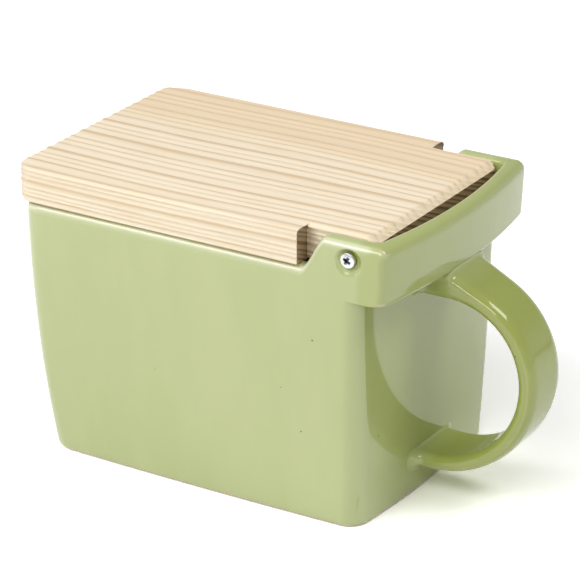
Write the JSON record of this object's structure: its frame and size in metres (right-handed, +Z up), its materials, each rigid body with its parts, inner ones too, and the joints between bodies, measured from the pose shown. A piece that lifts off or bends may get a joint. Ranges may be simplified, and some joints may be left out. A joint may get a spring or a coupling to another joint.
{
  "type": "salt box with hinged lid",
  "caption": "Rectangular glazed stoneware box with a strap handle and a wooden lid that swings up on two screws between the ears of its raised back rim.",
  "frame": {"origin": "middle of the underside, on the plane of the foot ring", "axes": "+Z up, +X towards the handle and the hinge, -X towards the free end of the lid, +Y to the far side"},
  "size_m": [0.1729, 0.0952, 0.1],
  "materials": {
    "glaze": "clear gloss over a pale yellow green glaze with a few fine dark specks",
    "wood": "brushed softwood, unvarnished, with raised straight grain",
    "steel": "bright zinc"
  },
  "bodies": {
    "box": {"vessel": "glaze", "handle": "glaze"},
    "lid": {"lid": "wood", "near_screw": "steel", "far_screw": "steel"}
  },
  "joints": [
    {"name": "lid_hinge", "type": "hinge", "parent": "box", "child": "lid", "pos_m": [0.0582, 0, 0.0939], "axis": [0, 1, 0], "range_deg": [0, 102]}
  ]
}
